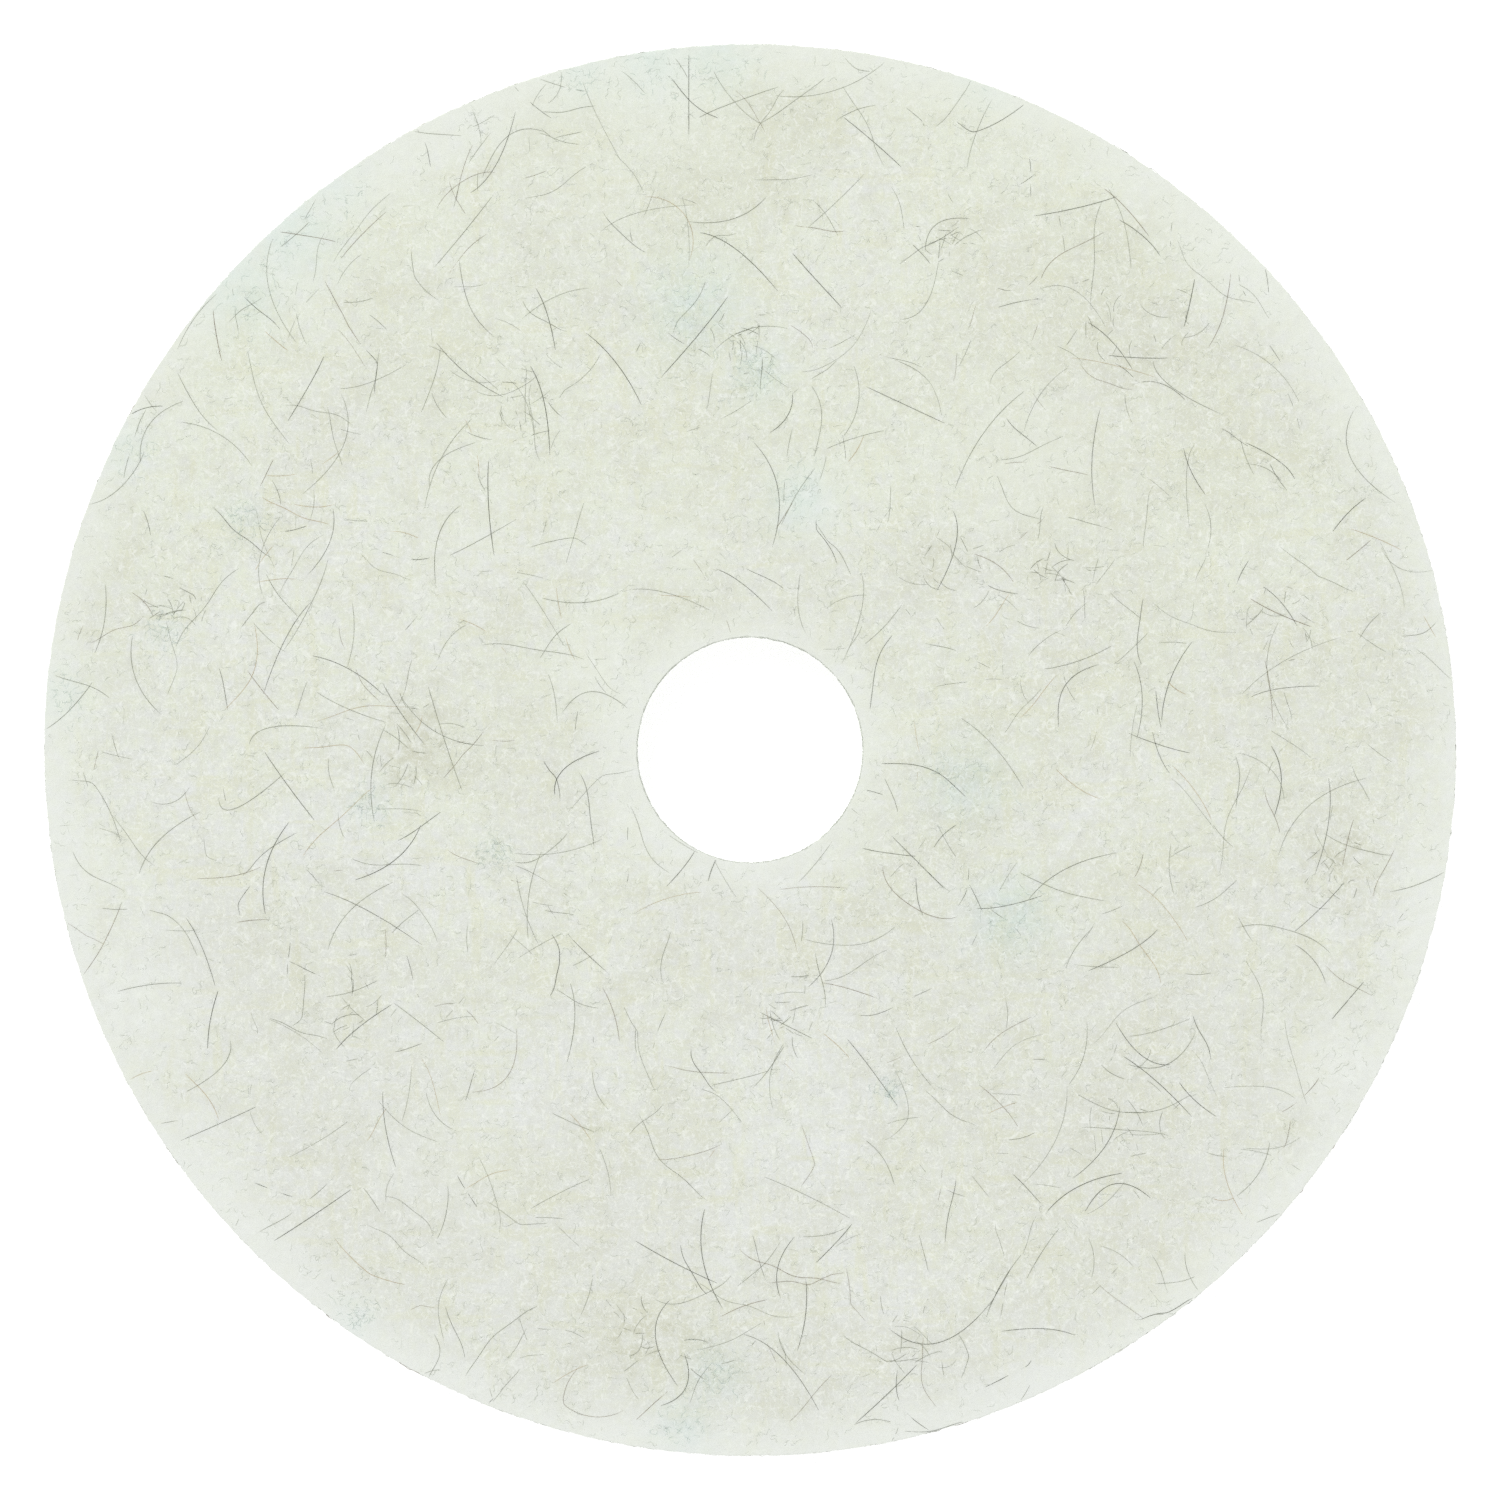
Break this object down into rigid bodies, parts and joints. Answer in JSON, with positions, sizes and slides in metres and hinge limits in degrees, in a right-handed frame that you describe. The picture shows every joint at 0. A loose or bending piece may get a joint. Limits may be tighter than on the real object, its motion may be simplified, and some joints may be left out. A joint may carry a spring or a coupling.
{
  "type": "felt polishing pad",
  "caption": "Flat round polishing pad of matted white polyester fibre and natural hair, with a central hole.",
  "frame": {"origin": "centre of the pad on its lower (working) face", "axes": "+Z along the spin axis, from the working face towards the pad driver; +Y and +X lie in the pad's plane and are interchangeable"},
  "size_m": [0.5079, 0.508, 0.0254],
  "materials": {
    "face_web": "matte",
    "core_web": "matte",
    "black_hair": "satin",
    "grey_hair": "satin",
    "brown_hair": "satin",
    "tan_hair": "satin",
    "teal_fibre": "satin"
  },
  "bodies": {
    "root": {"top_face_lap": "face_web", "core_lap_1": "core_web", "core_lap_2": "core_web", "core_lap_3": "core_web", "core_lap_4": "core_web", "bottom_face_lap": "face_web", "top_black_hairs": "black_hair", "top_grey_hairs": "grey_hair", "top_brown_hairs": "brown_hair", "top_tan_hairs": "tan_hair", "top_teal_fibres": "teal_fibre", "bottom_black_hairs": "black_hair", "bottom_grey_hairs": "grey_hair", "bottom_brown_hairs": "brown_hair", "bottom_tan_hairs": "tan_hair", "bottom_teal_fibres": "teal_fibre", "rim_black_hairs": "black_hair", "rim_brown_hairs": "brown_hair"}
  },
  "joints": []
}
